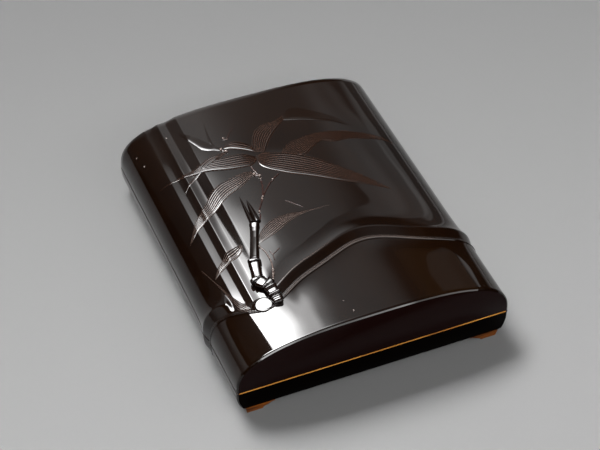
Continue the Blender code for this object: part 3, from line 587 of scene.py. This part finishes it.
near, far, top, under = LIP_PLAY, LIP_PLAY + LIP_THICK, LIP_HIGH + LIP_STAND, LIP_LOW - LIP_HANG
section = ((near, LIP_HIGH), (near, top - BROKEN_EDGE), (near + BROKEN_EDGE, top), (far - BROKEN_EDGE, top),
           (far, top - BROKEN_EDGE), (far, under), (near, under), (near, LIP_LOW))
loops = [(outline, LIP_LOW), (outline, LIP_HIGH)]
loops += [(inner_loop(clearance), height) for clearance, height in section]
lip = Piece("lip_strip")
lip.add(np.stack([np.column_stack([plan, np.full(len(plan), height)]) for plan, height in loops]),
        round_rows=True, round_columns=True)
lip_object = lip.build()

# %% [markdown]
# Four bracket feet of a darker amber wood carry the box. Each has one arm along the end and one along the
# side, mitred at the corner: a block that leans inwards to the ground, a small step, and a wing that thins
# out in an ogee. The saw left them rougher than the rest, so their faces are slightly uneven.

# %% Feet
def foot_grid(side, end):
    """Sections square to both arms: underside 0 on the block, then step + rise of an S curve on the wing."""
    wing = np.linspace(0, 1, 14)[1:]
    block = np.linspace(FOOT_THICK + 0.4, FOOT_BLOCK - BROKEN_EDGE, 6)
    distance = np.concatenate([block, [FOOT_BLOCK], FOOT_BLOCK + FOOT_WING * wing])
    rise = (FOOT_HEIGHT - FOOT_STEP - FOOT_TIP) * ease(wing, 0, 1)
    under = np.concatenate([0 * block, [FOOT_STEP], FOOT_STEP + rise])
    along = np.concatenate([distance[::-1], [0.0], distance])
    bottom = np.concatenate([under[::-1], [0.0], under])
    arm = np.concatenate([np.zeros(len(distance)), [0.5], np.ones(len(distance))])
    lean = FOOT_LEAN * (1 - bottom / FOOT_HEIGHT)
    level, top = 0 * bottom, FOOT_HEIGHT + 0 * bottom
    inner, edge_up = level + FOOT_THICK, bottom + BROKEN_EDGE
    depth = (level, level, lean * 0.45, lean, lean + 0.35, inner - BROKEN_EDGE, inner, inner)
    height = (top, top - 0.1, (bottom + top) / 2, edge_up, bottom, bottom, edge_up, top)
    depth, height = np.stack(depth, axis=1), np.stack(height, axis=1)
    across = np.where(arm[:, None] == 0, along[:, None], depth)
    lengthwise = np.where(arm[:, None] == 1, along[:, None], depth)
    x, y = FOOT_X - across, FOOT_Y - lengthwise
    share = np.clip((x - HALF_WIDTH + CORNER_WIDTH) / CORNER_WIDTH, 0, 1)
    rim = FOOT_HEIGHT + CORNER_HEIGHT * (1 - np.sqrt(1 - share ** 2))
    z = np.where(np.isin(np.arange(8), (0, 7))[None, :], rim, np.minimum(height, rim))
    rough = 0.10 * np.sin(2.1 * x + 1.3 * z + side) * np.sin(1.7 * y + 2.3 * z + end) * (z > 0.05) * (z < 5.8)
    return np.stack([side * (x + rough), end * (y + rough), z], axis=-1)


foot_objects = {}
for end_word, end in (("front", -1), ("back", 1)):
    for side_word, side in (("left", -1), ("right", 1)):
        foot = Piece(f"foot_{end_word}_{side_word}_wood")
        foot.add(foot_grid(side, end), round_columns=True, caps=True)
        foot_objects[f"foot_{end_word}_{side_word}"] = foot.build(30.0)

# %% [markdown]
# ## Writing a finish as a formula
#
# A procedural finish is a formula over the surface. In the node editor each plus and times is a box with
# wires. A small class that wraps one socket lets the formula be written as such, and adds the boxes itself.

# %% Sockets that can be added and multiplied
class Value:
    """One output socket of a material. Sums, differences and products of it add Math nodes."""

    def __init__(self, finish, socket):
        self.finish, self.socket = finish, socket

    def _math(self, operation, first, second, clamp=False):
        settings = {"operation": operation, "use_clamp": clamp}
        return self.finish.node("ShaderNodeMath", settings, {0: first, 1: second})

    def __add__(self, other):
        return self._math("ADD", self, other)

    def __sub__(self, other):
        return self._math("SUBTRACT", self, other)

    def __rsub__(self, other):
        return self._math("SUBTRACT", other, self)

    def __mul__(self, other):
        return self._math("MULTIPLY", self, other)

    __radd__, __rmul__ = __add__, __mul__

    def without_sign(self):
        """The size of the value."""
        return self._math("ABSOLUTE", self, 0.0)

    def to_nearest_whole(self):
        """Distance to the nearest whole number."""
        return self._math("PINGPONG", self, 0.5)

    def clamped(self):
        """The value held between 0 and 1."""
        return self._math("ADD", self, 0.0, clamp=True)


# %% A material under construction
class Finish:
    """A material under construction."""

    def __init__(self, name):
        self.material = bpy.data.materials.new(name)
        self.material.use_nodes = True
        self.tree = self.material.node_tree
        self.shader = self.tree.nodes["Principled BSDF"]

    def node(self, kind, settings=None, sockets=None, output=0):
        """Adds a node, makes its settings, then gives its sockets values or links. Returns one output."""
        made = self.tree.nodes.new(kind)
        for word, setting in (settings or {}).items():
            setattr(made, word, setting)
        for socket, value in (sockets or {}).items():
            self.join(made.inputs[socket], value)
        return Value(self, made.outputs[output])

    def join(self, target, value):
        """Links a value or stores a constant in a socket."""
        if isinstance(value, Value):
            self.tree.links.new(value.socket, target)
        else:
            target.default_value = value

    def set(self, **sockets):
        """Sets sockets of the shader by name, with _ for a space."""
        for word, value in sockets.items():
            self.join(self.shader.inputs[word.replace("_", " ")], value)

    def place(self):
        """Where the point is, in metres."""
        return self.node("ShaderNodeTexCoord", output="Object")

    def parts(self, vector):
        """The three parts of a place or of leaf coordinates."""
        split = self.node("ShaderNodeSeparateXYZ", {}, {0: vector})
        return [Value(self, output) for output in split.socket.node.outputs]

    def noise(self, place, scale, detail=3.0, roughness=0.5, stretch=(1, 1, 1)):
        """Noise from 0 to 1 of a size, stretched along the axes."""
        moved = self.node("ShaderNodeMapping", {}, {"Vector": place, "Scale": stretch})
        sockets = {"Vector": moved, "Scale": scale, "Detail": detail, "Roughness": roughness}
        return self.node("ShaderNodeTexNoise", {}, sockets, "Fac")

    def band(self, value, low, high):
        """S curve of a value from 0 at low to 1 at high."""
        return self.node("ShaderNodeMapRange", {"interpolation_type": "SMOOTHSTEP"},
                         {"Value": value, "From Min": low, "From Max": high}, "Result")

    def blend(self, share, first, second):
        """Mix of two colours."""
        return self.node("ShaderNodeMixRGB", {}, {"Fac": share, "Color1": first, "Color2": second})

    def mark(self, word):
        """A mark stored with the mesh."""
        return self.node("ShaderNodeAttribute", {"attribute_name": word}, {}, "Fac")

    def bumps(self, height, strength, distance):
        """Tilts the shading as if the surface rose by the height, without moving it."""
        sockets = {"Strength": strength, "Distance": distance, "Height": height}
        self.set(Normal=self.node("ShaderNodeBump", {}, sockets, "Normal"))


def colour(red, green, blue):
    """Linear colour with full alpha."""
    return (red, green, blue, 1.0)


print("a finish can", ", ".join(word for word in vars(Finish) if not word.startswith("_")))

# %% [markdown]
# ## Lacquer over dark wood
#
# The wood was darkened almost to black and sealed with clear lacquer. So the colour below is very dark and
# warm, and what the eye sees is mostly the mirror of the room. Leaves let a little more of the brown wood
# through, and the grooves of their veins show it as red-brown lines. Pale colour on some vein grooves, on the
# scar ridge, the crest, the knots and some twigs is a painted glint, and on a dull patch at the right of the
# waist a lighter warm brown is a painted sheen. Wear made a few small nicks. The coat is thinner on both ends
# and wherever the surface is dull.

# %% Lacquer
NICKS = ((-92.5, 103.2, 44.4), (-90.5, 90.8, 46.2), (-68.3, 103.9, 55.3), (-15.8, -101.8, 61.2),
         (-13.0, -112.6, 61.0))


def lacquer_finish(name, carved):
    """Each colour is laid over the last one by a share: ends, the painted sheen of a dull patch, leaves, vein
    grooves, wear, painted glints, nicks.
    A clear coat with faint scratches covers them."""
    finish = Finish(name)
    place = finish.place()
    cloud = finish.noise(place, 14.0, 4.0)
    grain = finish.noise(place, 90.0, 5.0, 0.6, (1.0, 0.08, 1.0))
    black, umber = colour(0.0018, 0.0006, 0.0002), colour(0.0032, 0.0011, 0.0003)
    dark = finish.blend(finish.band(cloud, 0.3, 0.7), black, umber)
    dark = finish.blend(finish.band(grain, 0.45, 0.75) * 0.35, dark, colour(0.0042, 0.0015, 0.0004))
    along = finish.parts(place)[1]
    on_end = finish.band(along.without_sign(), 0.1219, 0.12198)
    coat = 1.0 - (0.8 if carved else 0.97) * on_end
    bare_end = colour(0.0046, 0.0014, 0.0012) if carved else colour(0.0006, 0.0003, 0.0002)
    dark = finish.blend(on_end, dark, bare_end)
    if carved:
        leaf, worn, pale, dull = [finish.mark(word) for word in MARKS]
        # A lighter warm brown on the dull patch at the right of the waist is a painted sheen.
        painted_sheen = finish.band(dull, 0.5, 1.0) * (0.3 + 0.9 * cloud)
        dark = finish.blend(painted_sheen, dark, colour(0.0048, 0.0020, 0.0007))
        coat = coat - 0.75 * finish.band(dull, 0.0, 0.5)
        dark = finish.blend(leaf * 0.2, dark, colour(0.0065, 0.0032, 0.0018))
        u, veins, _ = finish.parts(finish.node("ShaderNodeUVMap", {"uv_map": "blade"}))
        nearest = veins.to_nearest_whole()
        on_leaf = finish.band(u, 0.0005, 0.001)
        groove = (1 - finish.band(nearest, 0.04, 0.14)) * on_leaf
        red_line = (groove * 0.8 * finish.band(leaf, 0.1, 0.3)).clamped()
        dark = finish.blend(red_line, dark, colour(0.036, 0.016, 0.010))
        dark = finish.blend(worn, dark, colour(0.022, 0.007, 0.005))
        # Pale colour paints glints: on the scar ridge, the crest, knots and twigs, and on leaves only along
        # the vein grooves.
        thin = 1 - on_leaf * finish.band(nearest, 0.08, 0.2)
        dark = finish.blend(pale * thin, dark, colour(0.11, 0.085, 0.075))
        for nick in NICKS:
            ends = {0: place, 1: [size * 0.001 for size in nick]}
            away = finish.node("ShaderNodeVectorMath", {"operation": "DISTANCE"}, ends, "Value")
            dark = finish.blend(1 - finish.band(away, 0.0002, 0.0008), dark, colour(0.14, 0.12, 0.11))
    scratch = finish.noise(place, 60.0, 2.0, 0.5, (1.0, 9.0, 1.0))
    finish.set(Base_Color=dark, Roughness=0.45, Metallic=0.0, Specular_IOR_Level=0.006, Coat_Weight=coat,
               Coat_Roughness=0.035, Coat_IOR=1.38)
    fine = finish.noise(place, 900.0, 2.0)
    finish.bumps(scratch * 0.6 + fine * 0.15, 0.015, 0.0005)
    return finish.material


lid_lacquer = lacquer_finish("lid lacquer", True)
base_lacquer = lacquer_finish("base lacquer", False)
print("lacquer:", len(lid_lacquer.node_tree.nodes), "nodes")

# %% [markdown]
# ## Amber wood
#
# Lip and feet are a lighter wood, oiled and not lacquered. Fine grain in thin layers and a few darker stains
# carry its colour. The feet have darkened more than the lip. Along both sides of the box the lip carries
# painted shade, as these faces get little light.

# %% Amber wood
def amber_finish(name, light, deep, painted_side_shade=False):
    """Light and deep amber blended by grain that is thin in Z, stained, with painted shade on the long sides
    where asked.
    """
    finish = Finish(name)
    place = finish.place()
    grain = finish.noise(place, 240.0, 6.0, 0.6, (0.15, 0.15, 1.0))
    stain = finish.noise(place, 60.0, 3.0)
    shade = finish.blend(finish.band(grain, 0.35, 0.68), light, deep)
    shade = finish.blend(finish.band(stain, 0.55, 0.8) * 0.6, shade, colour(0.06, 0.016, 0.003))
    # Painted shade: the lip's long sides are darkened, where they face away from the light.
    if painted_side_shade:
        side = finish.band(finish.parts(place)[0].without_sign(), 0.0985, 0.0993)
        shade = finish.blend(side, shade, colour(0.012, 0.005, 0.003))
    finish.set(Base_Color=shade, Roughness=0.45 + grain * 0.2, Metallic=0.0, Specular_IOR_Level=0.2)
    finish.bumps(grain, 0.3, 0.0004)
    return finish.material


lip_wood = amber_finish("lip wood", colour(0.48, 0.21, 0.035), colour(0.31, 0.115, 0.018), painted_side_shade=True)
foot_wood = amber_finish("foot wood", colour(0.16, 0.042, 0.002), colour(0.035, 0.008, 0.0007))

# %% Put every piece on its solid
pieces = {lid_object: ("lid", lid_lacquer, "lacquer"), base_object: ("base", base_lacquer, "lacquer"),
          lip_object: ("lip_frame", lip_wood, "wood")}
pieces.update({shape: (node, foot_wood, "wood") for node, shape in foot_objects.items()})
for shape, (node, material, slot) in pieces.items():
    shape.data.materials.append(material)
    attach(shape, "root")
    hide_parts(node)
print(len(pieces), "pieces placed")

# %% [markdown]
# ## The room
#
# Polished lacquer mirrors the shapes of the room, and their edges draw the flutes and the node. So the light
# comes from glowing cards. A large soft box above and behind gives the bright bands, and dim walls and a dim
# ceiling give the greys between them. A strip over the front gives the line of light along the front edge.
# The floor is paper with painted shade: its grey is darker towards the back, where the soft box lights it
# most.

# %% Floor and light
floor_mesh = bpy.data.meshes.new("floor")
floor_mesh.from_pydata([(-4, -4, 0), (4, -4, 0), (4, 4, 0), (-4, 4, 0)], [], [(0, 1, 2, 3)])
floor = bpy.data.objects.new("floor", floor_mesh)
bpy.context.collection.objects.link(floor)
paper = Finish("floor paper")
across, back, _ = paper.parts(paper.place())
# Painted shade: the floor's grey darkens towards the back.
shade = paper.band(back * 0.92 + across * 0.1, -0.5, 0.65)
pale_grey, painted_shade_grey = colour(0.143, 0.143, 0.143), colour(0.039, 0.039, 0.039)
paper.set(Base_Color=paper.blend(shade, pale_grey, painted_shade_grey), Roughness=0.9)
floor_mesh.materials.append(paper.material)


def glowing_card(name, corners, strength):
    """Sheet that gives off light and that the camera doesn't see. Its grey is a formula of the place."""
    mesh = bpy.data.meshes.new(name)
    mesh.from_pydata(corners, [], [(0, 1, 2, 3)])
    card = bpy.data.objects.new(name, mesh)
    bpy.context.collection.objects.link(card)
    cloth = Finish(name + " cloth")
    light = strength(cloth, *cloth.parts(cloth.place()))
    shine = cloth.node("ShaderNodeEmission", {}, {"Color": light, "Strength": 1.0})
    cloth.tree.links.new(shine.socket, cloth.tree.nodes["Material Output"].inputs["Surface"])
    mesh.materials.append(cloth.material)
    card.visible_camera = False


LIGHT_HEIGHT = 2.6


def soft_box_light(cloth, x, y, z):
    """Falls off to the right and to the back, and keeps a low even level at the left and the front."""
    def over(value, low, high):
        return cloth.band(value, low * LIGHT_HEIGHT, high * LIGHT_HEIGHT)

    faint = 1.0 - 0.9 * over(x, 0.22, 0.66)
    even_level = 5.5 * (1 - over(x, 0.19, 0.25)) * (1 - over(y, 0.88, 0.93))
    to_right = 1 - 0.9 * over(x, -0.12, 0.17) - 0.1 * over(x, 0.17, 0.34)
    to_back = 1 - 0.75 * over(y, 0.77, 0.90) - 0.24 * over(y, 0.86, 1.04)
    return faint + even_level + 56.0 * to_right * to_back


def back_wall_light(cloth, x, y, z):
    """Brightest behind the box, dim at both sides, with a faint slanting edge and bar at the right."""
    left, middle = 0.2 * cloth.band(x, -1.6, -1.2), 0.95 * cloth.band(x, -0.5, -0.1)
    low_right = 0.24 * cloth.band(x, 0.9, 1.3) * (1 - cloth.band(z, 2.1, 2.5))
    slanting = 0.28 * cloth.band(x, 1.5, 1.9) * cloth.band(z + x * 0.6, 3.19, 3.39)
    bar = 0.35 * cloth.band(x, 2.6, 2.9) * (cloth.band(z, 0.95, 1.15) - cloth.band(z, 1.5, 1.7))
    wall = 0.06 + left + middle - 0.95 * cloth.band(x, 0.4, 1.2) - low_right
    return wall + 0.1 * cloth.band(x, 2.0, 2.4) + slanting + bar


corners = [(-0.23, 1.03), (0.68, 1.03), (0.68, 0.36), (-0.61, 0.36)]
glowing_card("soft box", [(x * LIGHT_HEIGHT, y * LIGHT_HEIGHT, LIGHT_HEIGHT) for x, y in corners],
             soft_box_light)
glowing_card("back wall", [(-2.9, 3.0, 0.0), (3.8, 3.0, 0.0), (3.8, 3.0, 3.0), (-2.9, 3.0, 3.0)],
             back_wall_light)
glowing_card("left wall", [(-3.0, 2.6, 0.0), (-3.0, 0.5, 0.0), (-3.0, 0.5, 2.2), (-3.0, 2.6, 1.6)],
             lambda cloth, x, y, z: 0.15 + 0.45 * cloth.band(z, 0.3, 1.4))
glowing_card("right wall", [(1.6, 0.4, 0.0), (1.6, 2.2, 0.0), (1.6, 2.2, 0.24), (1.6, 0.4, 0.24)],
             lambda cloth, x, y, z: 0.5 - 0.4 * cloth.band(z, 0.04, 0.2))
glowing_card("ceiling", [(-1.7, 0.93, 2.61), (1.8, 0.93, 2.61), (1.8, -1.2, 2.61), (-1.7, -1.2, 2.61)],
             lambda cloth, x, y, z: 0.5 - 0.45 * cloth.band(x, 0.1, 1.3))
glowing_card("fill", [(-3.5, -1.3, 2.6), (4.8, -1.3, 2.6), (4.8, -4.0, 2.6), (-3.5, -4.0, 2.6)],
             lambda cloth, x, y, z: 2.6 + 13.0 * (cloth.band(y, -3.8, -3.65) - cloth.band(y, -3.1, -2.95)))
world = bpy.data.worlds.new("room")
world.use_nodes = True
world.node_tree.nodes["Background"].inputs["Color"].default_value = (0.5, 0.5, 0.5, 1)
world.node_tree.nodes["Background"].inputs["Strength"].default_value = 0.02
bpy.context.scene.world = world
bpy.context.scene.view_settings.view_transform = "Standard"
print("soft box", LIGHT_HEIGHT, "m above the floor")

# %% [markdown]
# ## Camera
#
# The camera stands in front and to the left and looks down at 44 degrees through a long lens, as the
# photograph does. Its place was found by matching the outline of the box.

# %% Camera
lens = bpy.data.cameras.new("camera")
lens.lens, lens.sensor_width = 112.6, 36.0
lens.clip_start, lens.clip_end = 0.05, 20.0
camera = bpy.data.objects.new("camera", lens)
camera.location = (-0.375, -0.893, 0.9698)
camera.rotation_euler = Euler((math.radians(45.99), 0.0, math.radians(-22.51)))
bpy.context.collection.objects.link(camera)
bpy.context.scene.camera = camera

# %% Update the scene
bpy.context.view_layer.update()
